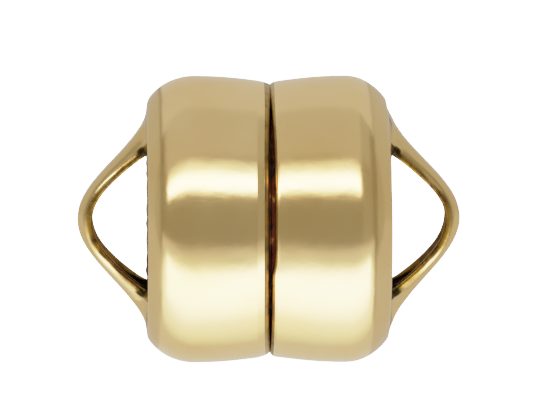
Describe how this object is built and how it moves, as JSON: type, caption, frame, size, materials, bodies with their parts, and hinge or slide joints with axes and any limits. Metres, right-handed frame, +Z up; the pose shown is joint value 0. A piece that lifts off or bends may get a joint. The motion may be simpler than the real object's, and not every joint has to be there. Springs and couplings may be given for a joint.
{
  "type": "magnetic clasp",
  "caption": "Round barrel magnetic clasp in gold-filled metal: mirrored cups with disc magnets in their mouths and a raised loop on each end, for joining jewellery ends.",
  "frame": {"origin": "on the common axis of the two halves, at the seam between them", "axes": "+X along the common axis, towards the right half's loop; both loops stand in the XZ plane; +Z up; the clasp lies on its side on z = -4 mm"},
  "size_m": [0.0106, 0.008, 0.008],
  "materials": {
    "gold_shell": "polished gold-filled sheet",
    "magnet": "satin nickel plate on a sintered magnet"
  },
  "bodies": {
    "left_half": {"shell_left": "gold_shell", "magnet_left": "magnet"},
    "right_half": {"shell_right": "gold_shell", "magnet_right": "magnet"}
  },
  "joints": [
    {"name": "pull_apart", "type": "slide", "parent": "left_half", "child": "right_half", "axis": [1, 0, 0], "range_m": [0, 0.006]}
  ]
}
